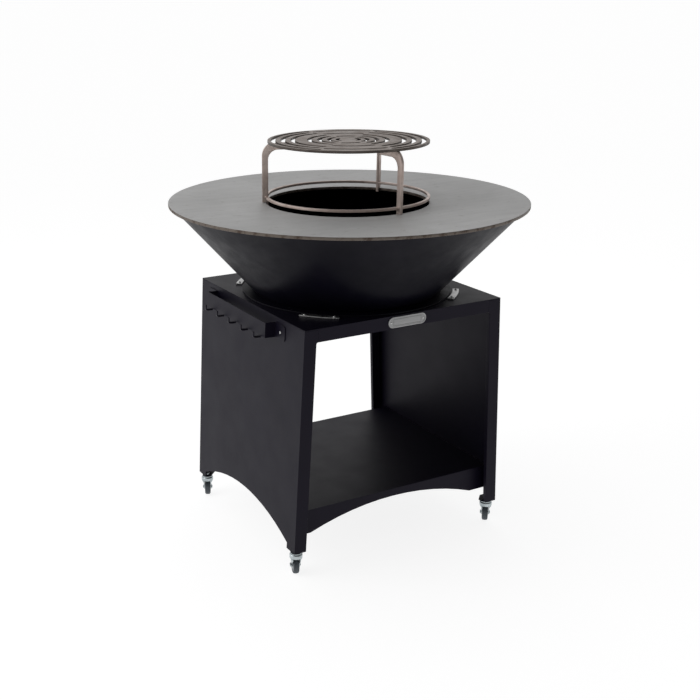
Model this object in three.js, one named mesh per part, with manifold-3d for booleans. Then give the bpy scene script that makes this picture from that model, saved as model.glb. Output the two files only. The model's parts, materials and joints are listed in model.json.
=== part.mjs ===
// Fire pit: a round griddle plate on a steel bowl, a raised grate over its hole, and a wheeled stand.
// Millimetres, +Z up. The origin is on the floor under the middle of the stand; the front is -Y.
import * as THREE from "three";
import { mergeVertices } from "three/addons/utils/BufferGeometryUtils.js";
import Module from "manifold-3d";

const wasm = await Module();
wasm.setup();

// General
const GAP = 0.3;            // clearance between pieces that touch
const SAG = 0.35;           // how far a chord may stray from its arc
const LONGEST_STEP = Math.PI / 6; // angle between two points of a small arc
const BITE = 1;             // how far a cutter runs past the face that it cuts
const QUARTER = Math.PI / 2;
const radians = THREE.MathUtils.degToRad;

// Stand of bent sheet steel; its sides splay outwards towards the floor
const LEG_BOTTOM = 70;
const STAND_TOP = 697;
const HALF_WIDTH_TOP = 312;
const HALF_WIDTH_FOOT = 342;
const HALF_DEPTH = 305.5;
const SHEET = 2.5;
const FLANGE = 36;          // front and back returns of the side panels
const APRON = 36;           // front and back drops of the top panel
const LIP = 13;             // inward lips round the front and back openings
const CORNER = 5;           // radius of the openings' top corners
const LEG = 45;             // width of a leg on the side panel
const ARCH_RADIUS = 595;
const ARCH_APEX = 146.7;
const SPLAY = (HALF_WIDTH_FOOT - HALF_WIDTH_TOP) / (STAND_TOP - LEG_BOTTOM);

// Shelf
const SHELF_TOP = 172.7;
const SHELF_DEPTH = 270;    // half, to the front of its aprons
const SHELF_APRON = 70;     // height of an apron at its ends
const SHELF_ARCH_CHORD = 272;
const SHELF_ARCH_APEX = 150.8;
const SHELF_ARCH_RADIUS = 787;

// Casters: the wheel's contact point, and the way that it rolls, in degrees from +Y towards +X
const WHEEL_RADIUS = 25;
const WHEEL_WIDTH = 17;
const CASTER_X = 326;
const CASTER_Y = 281;
const TRAIL = 12;           // from the swivel axis back to the contact point
const CASTERS = [
  { name: "front_left", x: -CASTER_X, y: -CASTER_Y, rolls: 20 },
  { name: "front_right", x: CASTER_X, y: -CASTER_Y, rolls: 38 },
  { name: "back_left", x: -CASTER_X, y: CASTER_Y, rolls: 27 },
  { name: "back_right", x: CASTER_X, y: CASTER_Y, rolls: 32 },
];
const PLATE_THICKNESS = 3;
const PLATE_OVERHANG = 7;   // past the flange's inner edge
const PLATE_CHAMFER = 20;   // cut off the plate's inner corner
const KINGPIN_RADIUS = 4.5;
const KINGPIN_HEAD_RADIUS = 6.5;
const KINGPIN_HEAD = 4;
const RACE_RADIUS = 15.5;
const RACE_BOTTOM = 66.5;
const CROWN_RADIUS = 18;
const CROWN_BOTTOM = 53.5;
const FORK_INNER = 9.6;     // half the space between the fork's cheeks
const FORK_SHEET = 2;
const AXLE_RADIUS = 2.9;
const AXLE_HEAD_RADIUS = 5.5;
const AXLE_HEAD = 2.8;
const HUB_RADIUS = 17;

// Bowl
const BASE_PLATE_RADIUS = 297;
const BASE_PLATE_THICKNESS = 4.5;
const BOWL_FLOOR_RADIUS = 266;
const BOWL_RIM_RADIUS = 487;
const BOWL_SHEET = 4;

// Griddle plate, dished towards its hole
const GRIDDLE_RADIUS = 500;
const GRIDDLE_HOLE = 227.5;
const GRIDDLE_THICKNESS = 8;
const GRIDDLE_TOP = 954.4;
const GRIDDLE_DISH = 7;
const DISH_SLOPE = GRIDDLE_DISH / (GRIDDLE_RADIUS - GRIDDLE_HOLE);

// Grate stand
const GRATE_RADIUS = 222.3;
const GRATE_TOP = 1117;
const GRATE_THICKNESS = 7;
const LEG_AZIMUTHS = [34.4, 154.4, 274.4];
const LEG_NAMES = ["right", "left", "front"];
const GRATE_LEG_OUTER = 238;
const GRATE_LEG_DEPTH = 17; // along the radius
const GRATE_LEG_WIDTH = 8;
const BEND_OUTER = 40;
const BEND_INNER = 28;
const ARM_INNER_END = 142;
const FOOT_LUG = 226.2;     // outside of the lug that hangs in the plate's hole
const FOOT_LUG_BOTTOM = 937;
const RING_INNER = 221;
const RING_OUTER = 229;
const RING_BOTTOM = 959;
const RING_TOP = 966;
// Slots of the grate: radius, width and half angle about the lobe axis, or about the line across it
const LOBE_SLOTS = [[207, 13, 62], [180, 13, 57], [153, 13, 59], [107, 12.5, 58], [79, 12, 54],
  [53, 11, 49], [30, 10, 38]];
const CROSS_SLOTS = [[187, 11, 25], [130, 11, 24], [70, 11, 18]];
const LOBE_AXIS = 154.4;    // through the left leg

// Arc guides round the bowl's base plate
const GUIDE_INNER = 302;
const GUIDE_OUTER = 319.5;
const GUIDE_HALF_ANGLE = 9.7;
const GUIDE_THICKNESS = 4;
const GUIDE_AZIMUTHS = [45, 135, 225, 315];
const GUIDE_NAMES = ["back_right", "back_left", "front_left", "front_right"];
const GUIDE_SCREW_RADIUS = 311;
const GUIDE_SCREW_ANGLE = 7.4;

// Name plate, and the tool rack on the left side
const BADGE_LENGTH = 120;
const BADGE_HEIGHT = 30;
const BADGE_Z = 679;
const BADGE_THICKNESS = 1.2;
const BADGE_BORDER = 3;
const BADGE_RIVET_X = 51;
const RACK_CENTRE = 24;
const RACK_HALF_LENGTH = 178.6;
const RACK_Z = 640.5;
const RACK_HEIGHT = 41.5;
const RACK_STANDOFF = 32;
const RACK_SHEET = 2;
const RACK_TAB = 53;
const RACK_TAB_CORNER = 8;
const RACK_SCREW_INSET = 29.4;
const HOOK_PITCH = 74;
const HOOK_COUNT = 5;
const HOOK_WIDTH = 10;
const HOOK_SHEET = 3;
const HOOK_REACH = 21;      // from the rack's face to the outside of the tip
const HOOK_DROP = 5;        // underside of the hook, below the rack
const HOOK_TIP = 12.5;      // top of the tip, above the rack's lower edge
const HOOK_BEND = 7;        // outer radius of the bend

// ---------------------------------------------------------------- helpers

function toSolid(geometry) {
  const bare = geometry.clone();
  bare.deleteAttribute("normal");
  bare.deleteAttribute("uv");
  const merged = mergeVertices(bare, 1e-4);
  return new wasm.Manifold(new wasm.Mesh({
    numProp: 3,
    vertProperties: new Float32Array(merged.attributes.position.array),
    triVerts: new Uint32Array(merged.index.array),
  }));
}

function toGeometry(solid) {
  const mesh = solid.getMesh();
  const geometry = new THREE.BufferGeometry();
  geometry.setAttribute("position", new THREE.BufferAttribute(mesh.vertProperties, 3));
  geometry.setIndex(new THREE.BufferAttribute(mesh.triVerts, 1));
  geometry.computeVertexNormals();
  return geometry;
}

function join(...geometries) {
  return toGeometry(geometries.map(toSolid).reduce((sum, solid) => sum.add(solid)));
}

function cut(geometry, ...cutters) {
  return toGeometry(cutters.map(toSolid).reduce((rest, cutter) => rest.subtract(cutter), toSolid(geometry)));
}

function block(x0, x1, y0, y1, z0, z1) {
  const geometry = new THREE.BoxGeometry(x1 - x0, y1 - y0, z1 - z0);
  return geometry.translate((x0 + x1) / 2, (y0 + y1) / 2, (z0 + z1) / 2);
}

// Points of an arc, both ends included; the number of chords follows from SAG
function arc(x, y, radius, from, to) {
  const step = Math.min(2 * Math.acos(1 - SAG / Math.max(radius, SAG)), LONGEST_STEP);
  const count = Math.max(2, Math.ceil(Math.abs(to - from) / step));
  const points = [];
  for (let i = 0; i <= count; i += 1) {
    const angle = from + ((to - from) * i) / count;
    points.push(new THREE.Vector2(x + radius * Math.cos(angle), y + radius * Math.sin(angle)));
  }
  return points;
}

function pair(x, y) {
  return new THREE.Vector2(x, y);
}

// A prism over the outline, from z0 up to z1
function prism(outline, z0, z1, holes = []) {
  const shape = new THREE.Shape(outline);
  shape.holes = holes.map((points) => new THREE.Path(points));
  const settings = { depth: z1 - z0, bevelEnabled: false, curveSegments: 1 };
  return new THREE.ExtrudeGeometry(shape, settings).translate(0, 0, z0);
}

// A prism whose outline lies in the XZ plane, from y0 to y1
function frontPrism(outline, y0, y1, holes = []) {
  return prism(outline, -y1, -y0, holes).rotateX(QUARTER);
}

// A prism whose outline lies in the YZ plane, from x0 to x1
function sidePrism(outline, x0, x1) {
  const turn = new THREE.Matrix4().makeBasis(
    new THREE.Vector3(0, 1, 0), new THREE.Vector3(0, 0, 1), new THREE.Vector3(1, 0, 0));
  return prism(outline, x0, x1).applyMatrix4(turn);
}

// A turned piece about Z; its profile is a list of [radius, z]
function turned(profile, segments) {
  const points = profile.map(([radius, z]) => pair(radius, z));
  return new THREE.LatheGeometry(points, segments).rotateX(QUARTER);
}

// A turned ring: the profile closes on itself
function turnedRing(profile, segments) {
  return turned([...profile, profile[0]], segments);
}

function hole(x, y, radius, z0, z1) {
  return prism(arc(x, y, radius, 0, 2 * Math.PI).slice(0, -1), z0, z1);
}

function finish(colour, roughness, metalness) {
  return { color: colour, roughness, metalness };
}

const BLACK_PAINT = finish(0x2b2a2d, 0.62, 0.1);
const BOWL_PAINT = finish(0x1b1a1b, 0.7, 0.1);
const RAW_STEEL = finish(0x918e8a, 0.5, 0.9);
const GRATE_STEEL = finish(0x8c8178, 0.55, 0.8);
const STAINLESS = finish(0xb9b9b8, 0.3, 1);
const ZINC = finish(0xc3c9cc, 0.32, 1);
const RUBBER = finish(0x4b5056, 0.8, 0);
const HUB_PLASTIC = finish(0x8f9499, 0.6, 0);

const firePit = new THREE.Group();

function addPiece(parent, name, geometry, look) {
  const piece = new THREE.Mesh(geometry, new THREE.MeshStandardMaterial(look));
  piece.name = name;
  parent.add(piece);
  return piece;
}

// ---------------------------------------------------------------- stand

function halfWidth(z) {
  return HALF_WIDTH_FOOT - SPLAY * (z - LEG_BOTTOM);
}

// Shears a piece so that x = 0 follows the outside of a side panel; side is 1 or -1
function splay(geometry, side) {
  const shear = new THREE.Matrix4().set(
    1, 0, -side * SPLAY, side * (HALF_WIDTH_FOOT + SPLAY * LEG_BOTTOM),
    0, 1, 0, 0,
    0, 0, 1, 0,
    0, 0, 0, 1);
  return geometry.applyMatrix4(shear);
}

const PANEL_TOP = STAND_TOP - SHEET - GAP;
const OPENING_TOP = STAND_TOP - APRON;
const SEAM = halfWidth(OPENING_TOP) - FLANGE - CORNER; // joint of a flange and the top apron

// Outline of a front or back flange, with the rounded corner of the opening
function flangeOutline(side) {
  const inner = (z) => halfWidth(z) - FLANGE;
  const springing = OPENING_TOP - CORNER;
  const points = [
    pair(inner(LEG_BOTTOM), LEG_BOTTOM),
    pair(halfWidth(LEG_BOTTOM), LEG_BOTTOM),
    pair(halfWidth(PANEL_TOP), PANEL_TOP),
    pair(SEAM, PANEL_TOP),
    ...arc(SEAM, springing, CORNER, QUARTER, 0),
  ];
  points.at(-1).x = inner(springing);
  return mirrored(points, side);
}

// Outline of the lip along a flange's inner edge
function lipOutline(side) {
  const inner = (z) => halfWidth(z) - FLANGE;
  const springing = OPENING_TOP - CORNER;
  const points = [
    pair(inner(LEG_BOTTOM), LEG_BOTTOM),
    pair(inner(LEG_BOTTOM) + SHEET, LEG_BOTTOM),
    ...arc(SEAM, springing, CORNER + SHEET, 0, QUARTER),
    ...arc(SEAM, springing, CORNER, QUARTER, 0),
  ];
  return mirrored(points, side);
}

function mirrored(points, side) {
  if (side > 0) return points;
  return points.map((point) => pair(-point.x, point.y)).reverse();
}

function sidePanel(side) {
  const foot = HALF_DEPTH - LEG;
  const centre = ARCH_APEX - ARCH_RADIUS;
  const spread = Math.asin(foot / ARCH_RADIUS);
  const outline = [
    pair(-HALF_DEPTH, LEG_BOTTOM),
    pair(-foot, LEG_BOTTOM),
    ...arc(0, centre, ARCH_RADIUS, QUARTER + spread, QUARTER - spread),
    pair(foot, LEG_BOTTOM),
    pair(HALF_DEPTH, LEG_BOTTOM),
    pair(HALF_DEPTH, PANEL_TOP),
    pair(-HALF_DEPTH, PANEL_TOP),
  ];
  const web = splay(side > 0 ? sidePrism(outline, -SHEET, 0) : sidePrism(outline, 0, SHEET), side);
  return join(
    web,
    frontPrism(flangeOutline(side), -HALF_DEPTH, -HALF_DEPTH + SHEET),
    frontPrism(flangeOutline(side), HALF_DEPTH - SHEET, HALF_DEPTH),
    frontPrism(lipOutline(side), -HALF_DEPTH, -HALF_DEPTH + LIP),
    frontPrism(lipOutline(side), HALF_DEPTH - LIP, HALF_DEPTH));
}

function guideScrewPlaces() {
  return GUIDE_AZIMUTHS.flatMap((azimuth) => [-1, 1].map((side) => {
    const angle = radians(azimuth + side * GUIDE_SCREW_ANGLE);
    return pair(GUIDE_SCREW_RADIUS * Math.cos(angle), GUIDE_SCREW_RADIUS * Math.sin(angle));
  }));
}

const SCREW_SHANK = 2.2;
const SCREW_HOLE = SCREW_SHANK + GAP;

function topPanel() {
  const half = SEAM - GAP;
  const sheet = block(-HALF_WIDTH_TOP, HALF_WIDTH_TOP, -HALF_DEPTH, HALF_DEPTH, STAND_TOP - SHEET, STAND_TOP);
  const aprons = [-1, 1].flatMap((side) => {
    const outer = side * HALF_DEPTH;
    const face = side * (HALF_DEPTH - SHEET);
    const lipEnd = side * (HALF_DEPTH - LIP);
    return [
      block(-half, half, Math.min(outer, face), Math.max(outer, face), OPENING_TOP, STAND_TOP),
      block(-half, half, Math.min(outer, lipEnd), Math.max(outer, lipEnd), OPENING_TOP, OPENING_TOP + SHEET),
    ];
  });
  const screwHoles = guideScrewPlaces().map((place) =>
    hole(place.x, place.y, SCREW_HOLE, STAND_TOP - SHEET - BITE, STAND_TOP + BITE));
  const rivetHoles = [-1, 1].map((side) => rivetHole(side * BADGE_RIVET_X));
  return cut(join(sheet, ...aprons), ...screwHoles, ...rivetHoles);
}

function shelf() {
  const half = halfWidth(SHELF_TOP) - SHEET - 2 * GAP;
  const bottom = SHELF_TOP - SHELF_APRON;
  const foot = SHELF_ARCH_CHORD;
  const spread = Math.asin(foot / SHELF_ARCH_RADIUS);
  const outline = [
    pair(-half, bottom),
    pair(-foot, bottom),
    ...arc(0, SHELF_ARCH_APEX - SHELF_ARCH_RADIUS, SHELF_ARCH_RADIUS, QUARTER + spread, QUARTER - spread),
    pair(foot, bottom),
    pair(half, bottom),
    pair(half, SHELF_TOP),
    pair(-half, SHELF_TOP),
  ];
  return join(
    block(-half, half, -SHELF_DEPTH, SHELF_DEPTH, SHELF_TOP - SHEET, SHELF_TOP),
    frontPrism(outline, -SHELF_DEPTH, -SHELF_DEPTH + SHEET),
    frontPrism(outline, SHELF_DEPTH - SHEET, SHELF_DEPTH));
}

function addStand() {
  addPiece(firePit, "left_side_panel", sidePanel(-1), BLACK_PAINT);
  addPiece(firePit, "right_side_panel", sidePanel(1), BLACK_PAINT);
  addPiece(firePit, "top_panel", topPanel(), BLACK_PAINT);
  addPiece(firePit, "shelf", shelf(), BLACK_PAINT);
}

// ---------------------------------------------------------------- casters

const RIM = 3;
const CROWN_EDGE = 2;       // bevel round the crown
const SHOULDER_HALF = 8;
const RACE_SIDES = 20;
const WHEEL_SIDES = 24;
const PIN_SIDES = 10;

function swivelAxis(caster) {
  const angle = radians(caster.rolls);
  return pair(caster.x - TRAIL * Math.sin(angle), caster.y - TRAIL * Math.cos(angle));
}

// Plate across the foot of a leg, notched round the flange's lip
function cornerPlate(caster) {
  const sideX = Math.sign(caster.x);
  const sideY = Math.sign(caster.y);
  const z0 = LEG_BOTTOM + GAP;
  const z1 = z0 + PLATE_THICKNESS;
  const outer = halfWidth(z1) - SHEET - 2 * GAP;
  const behindLip = halfWidth(z0) - FLANGE + SHEET + 2 * GAP;
  const inner = behindLip - SHEET - PLATE_OVERHANG;
  const face = HALF_DEPTH - SHEET - GAP;
  const lipEnd = HALF_DEPTH - LIP - GAP;
  const back = HALF_DEPTH - LEG;
  const corners = [[outer, face], [behindLip, face], [behindLip, lipEnd], [inner, lipEnd],
    [inner, back + PLATE_CHAMFER], [inner + PLATE_CHAMFER, back], [outer, back],
  ].map(([x, y]) => pair(sideX * x, sideY * y));
  const outline = sideX * sideY > 0 ? corners : corners.reverse();
  const axis = swivelAxis(caster);
  return cut(prism(outline, z0, z1), hole(axis.x, axis.y, KINGPIN_RADIUS + GAP, z0 - BITE, z1 + BITE));
}

function race() {
  const plateTop = LEG_BOTTOM + GAP + PLATE_THICKNESS;
  const headBottom = plateTop + GAP;
  return turned([
    [0, RACE_BOTTOM],
    [RACE_RADIUS - 1, RACE_BOTTOM],
    [RACE_RADIUS, RACE_BOTTOM + 1],
    [RACE_RADIUS, LEG_BOTTOM - GAP],
    [KINGPIN_RADIUS, LEG_BOTTOM - GAP],
    [KINGPIN_RADIUS, headBottom],
    [KINGPIN_HEAD_RADIUS, headBottom],
    [KINGPIN_HEAD_RADIUS, headBottom + KINGPIN_HEAD],
    [0, headBottom + KINGPIN_HEAD],
  ], RACE_SIDES);
}

// Fork in its own frame: rolls along +Y, swivel axis on Z, wheel behind the axis by TRAIL
function fork() {
  const crown = turned([
    [0, CROWN_BOTTOM],
    [CROWN_RADIUS - CROWN_EDGE, CROWN_BOTTOM],
    [CROWN_RADIUS, CROWN_BOTTOM + CROWN_EDGE],
    [CROWN_RADIUS, RACE_BOTTOM - CROWN_EDGE - GAP],
    [CROWN_RADIUS - CROWN_EDGE, RACE_BOTTOM - GAP],
    [0, RACE_BOTTOM - GAP],
  ], RACE_SIDES);
  const bossRadius = 8;
  const cheekTop = CROWN_BOTTOM + RIM;
  const cheekRoot = CROWN_BOTTOM - 6;
  const front = 13;
  const rear = 15;
  const cheek = [
    pair(-front, cheekTop),
    pair(-front, cheekRoot),
    ...arc(TRAIL, WHEEL_RADIUS, bossRadius, Math.PI * 0.9, Math.PI * 2.05),
    pair(rear, cheekRoot),
    pair(front, cheekTop),
  ];
  const outside = FORK_INNER + FORK_SHEET;
  const shoulder = [
    pair(FORK_INNER, cheekTop),
    pair(FORK_INNER, cheekRoot - 1),
    pair(outside, cheekRoot - 1),
    pair(CROWN_RADIUS - CROWN_EDGE, CROWN_BOTTOM),
    pair(CROWN_RADIUS - CROWN_EDGE, cheekTop),
  ];
  const sides = [-1, 1].flatMap((side) => [
    sidePrism(cheek, side > 0 ? FORK_INNER : -outside, side > 0 ? outside : -FORK_INNER),
    frontPrism(mirrored(shoulder, side), -SHOULDER_HALF, SHOULDER_HALF),
  ]);
  return cut(join(crown, ...sides), axleCutter());
}

function axleCutter() {
  const reach = FORK_INNER + FORK_SHEET + BITE;
  return sidePrism(arc(TRAIL, WHEEL_RADIUS, AXLE_RADIUS + GAP, 0, 2 * Math.PI).slice(0, -1), -reach, reach);
}

// Pieces that turn about the wheel's axle are turned about Z and then laid along X
function onAxle(geometry) {
  return geometry.rotateY(QUARTER).translate(0, TRAIL, WHEEL_RADIUS);
}

function axle() {
  const cheekOuter = FORK_INNER + FORK_SHEET + GAP;
  const end = cheekOuter + AXLE_HEAD;
  return onAxle(turned([
    [0, -end],
    [AXLE_HEAD_RADIUS, -end],
    [AXLE_HEAD_RADIUS, -cheekOuter],
    [AXLE_RADIUS, -cheekOuter],
    [AXLE_RADIUS, cheekOuter],
    [AXLE_HEAD_RADIUS, cheekOuter],
    [AXLE_HEAD_RADIUS, end],
    [0, end],
  ], PIN_SIDES));
}

function hub() {
  const half = WHEEL_WIDTH / 2 - 1;
  const bore = AXLE_RADIUS + GAP;
  return onAxle(turnedRing([
    [bore, -half - 0.6],
    [bore + 4, -half - 0.6],
    [bore + 5, -half + 2],
    [HUB_RADIUS - 2, -half + 2],
    [HUB_RADIUS, -half],
    [HUB_RADIUS, half],
    [HUB_RADIUS - 2, half - 2],
    [bore + 5, half - 2],
    [bore + 4, half + 0.6],
    [bore, half + 0.6],
  ], WHEEL_SIDES));
}

function tyre() {
  const half = WHEEL_WIDTH / 2;
  const inner = HUB_RADIUS + GAP;
  return onAxle(turnedRing([
    [inner, -half + 1],
    [WHEEL_RADIUS - 4, -half],
    [WHEEL_RADIUS - 1, -half + RIM],
    [WHEEL_RADIUS, -half + 2 * RIM],
    [WHEEL_RADIUS, half - 2 * RIM],
    [WHEEL_RADIUS - 1, half - RIM],
    [WHEEL_RADIUS - 4, half],
    [inner, half - 1],
  ], WHEEL_SIDES));
}

function addCasters() {
  for (const caster of CASTERS) {
    addPiece(firePit, `caster_plate_${caster.name}`, cornerPlate(caster), BLACK_PAINT);
    const axis = swivelAxis(caster);
    const swivel = new THREE.Group();
    swivel.position.set(axis.x, axis.y, 0);
    swivel.rotation.z = -radians(caster.rolls);
    firePit.add(swivel);
    addPiece(swivel, `caster_race_${caster.name}`, race(), ZINC);
    addPiece(swivel, `caster_fork_${caster.name}`, fork(), ZINC);
    addPiece(swivel, `caster_axle_${caster.name}`, axle(), ZINC);
    addPiece(swivel, `caster_hub_${caster.name}`, hub(), HUB_PLASTIC);
    addPiece(swivel, `caster_tyre_${caster.name}`, tyre(), RUBBER);
  }
}

// ---------------------------------------------------------------- bowl and griddle

const RING_SIDES = 72;
const GRIDDLE_SIDES = 96;

function addBowl() {
  const seat = STAND_TOP + GAP;
  const plateTop = seat + BASE_PLATE_THICKNESS;
  const floor = plateTop + GAP;
  const rimZ = GRIDDLE_TOP - GRIDDLE_THICKNESS - (GRIDDLE_RADIUS - BOWL_RIM_RADIUS) * DISH_SLOPE - GAP;
  const rise = (rimZ - floor) / (BOWL_RIM_RADIUS - BOWL_FLOOR_RADIUS);
  const wall = BOWL_SHEET * Math.hypot(1, rise) / rise; // the sheet's thickness measured level
  addPiece(firePit, "bowl_base_plate", turned([
    [0, seat],
    [BASE_PLATE_RADIUS, seat],
    [BASE_PLATE_RADIUS, plateTop],
    [0, plateTop],
  ], RING_SIDES), BOWL_PAINT);
  addPiece(firePit, "fire_bowl", turned([
    [0, floor],
    [BOWL_FLOOR_RADIUS, floor],
    [BOWL_RIM_RADIUS, rimZ],
    [BOWL_RIM_RADIUS - wall, rimZ],
    [BOWL_FLOOR_RADIUS - wall + BOWL_SHEET / rise, floor + BOWL_SHEET],
    [0, floor + BOWL_SHEET],
  ], RING_SIDES), BOWL_PAINT);
}

function griddleSurface(radius) {
  return GRIDDLE_TOP - (GRIDDLE_RADIUS - radius) * DISH_SLOPE;
}

function addGriddle() {
  const edge = 1;
  const innerTop = griddleSurface(GRIDDLE_HOLE);
  addPiece(firePit, "griddle_plate", turnedRing([
    [GRIDDLE_HOLE, innerTop - GRIDDLE_THICKNESS],
    [GRIDDLE_RADIUS - edge, GRIDDLE_TOP - GRIDDLE_THICKNESS],
    [GRIDDLE_RADIUS, GRIDDLE_TOP - GRIDDLE_THICKNESS + edge],
    [GRIDDLE_RADIUS, GRIDDLE_TOP - edge],
    [GRIDDLE_RADIUS - edge, GRIDDLE_TOP],
    [GRIDDLE_HOLE, innerTop],
  ], GRIDDLE_SIDES), RAW_STEEL);
}

// ---------------------------------------------------------------- grate stand

// An arc-shaped slot with round ends, about an azimuth in degrees
function slotOutline(radius, width, halfAngle, azimuth) {
  const from = radians(azimuth - halfAngle);
  const to = radians(azimuth + halfAngle);
  const round = width / 2;
  const end = (angle, turn) => arc(radius * Math.cos(angle), radius * Math.sin(angle), round,
    angle + turn, angle + turn + Math.PI);
  return [
    ...arc(0, 0, radius + round, from, to),
    ...end(to, 0).slice(1, -1),
    ...arc(0, 0, radius - round, to, from),
    ...end(from, Math.PI).slice(1, -1),
  ].reverse();
}

function grateDisc() {
  const slots = [0, 180].flatMap((turn) => [
    ...LOBE_SLOTS.map(([radius, width, half]) => slotOutline(radius, width, half, LOBE_AXIS + turn)),
    ...CROSS_SLOTS.map(([radius, width, half]) => slotOutline(radius, width, half, LOBE_AXIS + turn + 90)),
  ]);
  const rim = arc(0, 0, GRATE_RADIUS, 0, 2 * Math.PI).slice(0, -1);
  return prism(rim, GRATE_TOP - GRATE_THICKNESS, GRATE_TOP, slots);
}

// A flat bar on edge: foot on the griddle, up, and round under the grate; outline is [radius, z]
function grateLeg() {
  const inner = GRATE_LEG_OUTER - GRATE_LEG_DEPTH;
  const top = GRATE_TOP - GRATE_THICKNESS - GAP;
  const bendZ = top + BITE * 5 - BEND_OUTER;
  const crest = Math.acos((top - bendZ) / BEND_OUTER);
  const underside = top - GRATE_LEG_DEPTH;
  const footZ = griddleSurface(GRATE_LEG_OUTER) + GAP;
  const outline = [
    pair(inner, FOOT_LUG_BOTTOM),
    pair(FOOT_LUG, FOOT_LUG_BOTTOM),
    pair(FOOT_LUG, footZ),
    pair(GRATE_LEG_OUTER, footZ),
    ...arc(GRATE_LEG_OUTER - BEND_OUTER, bendZ, BEND_OUTER, 0, QUARTER - crest),
    pair(ARM_INNER_END, top),
    pair(ARM_INNER_END, underside),
    ...arc(inner - BEND_INNER, underside - BEND_INNER, BEND_INNER, QUARTER, 0),
  ];
  const half = GRATE_LEG_WIDTH / 2;
  const bar = frontPrism(outline, -half, half);
  const notch = turnedRing([
    [RING_INNER - BITE, RING_BOTTOM - GAP],
    [RING_OUTER + GAP, RING_BOTTOM - GAP],
    [RING_OUTER + GAP, RING_TOP + GAP],
    [RING_INNER - BITE, RING_TOP + GAP],
  ], RING_SIDES);
  return cut(bar, notch);
}

function addGrate() {
  addPiece(firePit, "grate_disc", grateDisc(), GRATE_STEEL);
  addPiece(firePit, "grate_ring", turnedRing([
    [RING_INNER, RING_BOTTOM],
    [RING_OUTER, RING_BOTTOM],
    [RING_OUTER, RING_TOP],
    [RING_INNER, RING_TOP],
  ], RING_SIDES), GRATE_STEEL);
  LEG_AZIMUTHS.forEach((azimuth, index) => {
    const leg = addPiece(firePit, `grate_leg_${LEG_NAMES[index]}`, grateLeg(), GRATE_STEEL);
    leg.rotation.z = radians(azimuth);
  });
}

// ---------------------------------------------------------------- guides, badge and screws

const SCREW_HEAD = 3.75;
const SCREW_HEAD_HEIGHT = 2.6;
const SCREW_LENGTH = 11;
const SCREW_SIDES = 12;

// A button-head screw along Z; its head sits on z = 0
function screw() {
  return turned([
    [0, -SCREW_LENGTH],
    [SCREW_SHANK, -SCREW_LENGTH],
    [SCREW_SHANK, GAP],
    [SCREW_HEAD, GAP],
    [SCREW_HEAD, 1.2],
    [SCREW_HEAD - 1.2, SCREW_HEAD_HEIGHT],
    [0, SCREW_HEAD_HEIGHT],
  ], SCREW_SIDES);
}

function guide(azimuth) {
  const from = radians(azimuth - GUIDE_HALF_ANGLE);
  const to = radians(azimuth + GUIDE_HALF_ANGLE);
  const z0 = STAND_TOP + GAP;
  const z1 = z0 + GUIDE_THICKNESS;
  const outline = [...arc(0, 0, GUIDE_OUTER, from, to), ...arc(0, 0, GUIDE_INNER, to, from)];
  const holes = [-1, 1].map((side) => {
    const angle = radians(azimuth + side * GUIDE_SCREW_ANGLE);
    return hole(GUIDE_SCREW_RADIUS * Math.cos(angle), GUIDE_SCREW_RADIUS * Math.sin(angle), SCREW_HOLE,
      z0 - BITE, z1 + BITE);
  });
  return cut(prism(outline, z0, z1), ...holes);
}

function addGuides() {
  const headSeat = STAND_TOP + GAP + GUIDE_THICKNESS;
  const places = guideScrewPlaces();
  GUIDE_AZIMUTHS.forEach((azimuth, index) => {
    const name = GUIDE_NAMES[index];
    addPiece(firePit, `bowl_guide_${name}`, guide(azimuth), STAINLESS);
    for (const end of [0, 1]) {
      const piece = addPiece(firePit, `guide_screw_${name}_${end + 1}`, screw(), STAINLESS);
      const place = places[2 * index + end];
      piece.position.set(place.x, place.y, headSeat);
    }
  });
}

const RIVET_SHANK = 1.5;
const RIVET_HEAD = 2.8;

function rivetHole(x) {
  const radius = RIVET_SHANK + GAP;
  return new THREE.CylinderGeometry(radius, radius, 4 * SHEET, PIN_SIDES).translate(x, -HALF_DEPTH, BADGE_Z);
}

function pill(length, height) {
  const half = (length - height) / 2;
  const round = height / 2;
  return [
    ...arc(half, BADGE_Z, round, -QUARTER, QUARTER),
    ...arc(-half, BADGE_Z, round, QUARTER, 3 * QUARTER),
  ];
}

function addBadge() {
  const back = -HALF_DEPTH - GAP;
  const face = back - BADGE_THICKNESS;
  const border = 2 * BADGE_BORDER;
  const rimHeight = 0.8;
  const base = frontPrism(pill(BADGE_LENGTH, BADGE_HEIGHT), face, back);
  const frame = frontPrism(pill(BADGE_LENGTH, BADGE_HEIGHT), face - rimHeight, face + rimHeight / 2,
    [pill(BADGE_LENGTH - border, BADGE_HEIGHT - border).reverse()]);
  const rivetHoles = [-1, 1].map((side) => rivetHole(side * BADGE_RIVET_X));
  addPiece(firePit, "name_plate", cut(join(base, frame), ...rivetHoles), STAINLESS);
  for (const side of [-1, 1]) {
    const rivet = turned([
      [0, -SHEET - 2.5],
      [RIVET_SHANK, -SHEET - 2.5],
      [RIVET_SHANK, GAP],
      [RIVET_HEAD, GAP],
      [RIVET_HEAD - 1, 1.4],
      [0, 1.6],
    ], PIN_SIDES).rotateX(QUARTER);
    const piece = addPiece(firePit, `name_plate_rivet_${side < 0 ? "left" : "right"}`, rivet, STAINLESS);
    piece.position.set(side * BADGE_RIVET_X, face, BADGE_Z);
  }
}

// ---------------------------------------------------------------- tool rack

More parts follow.
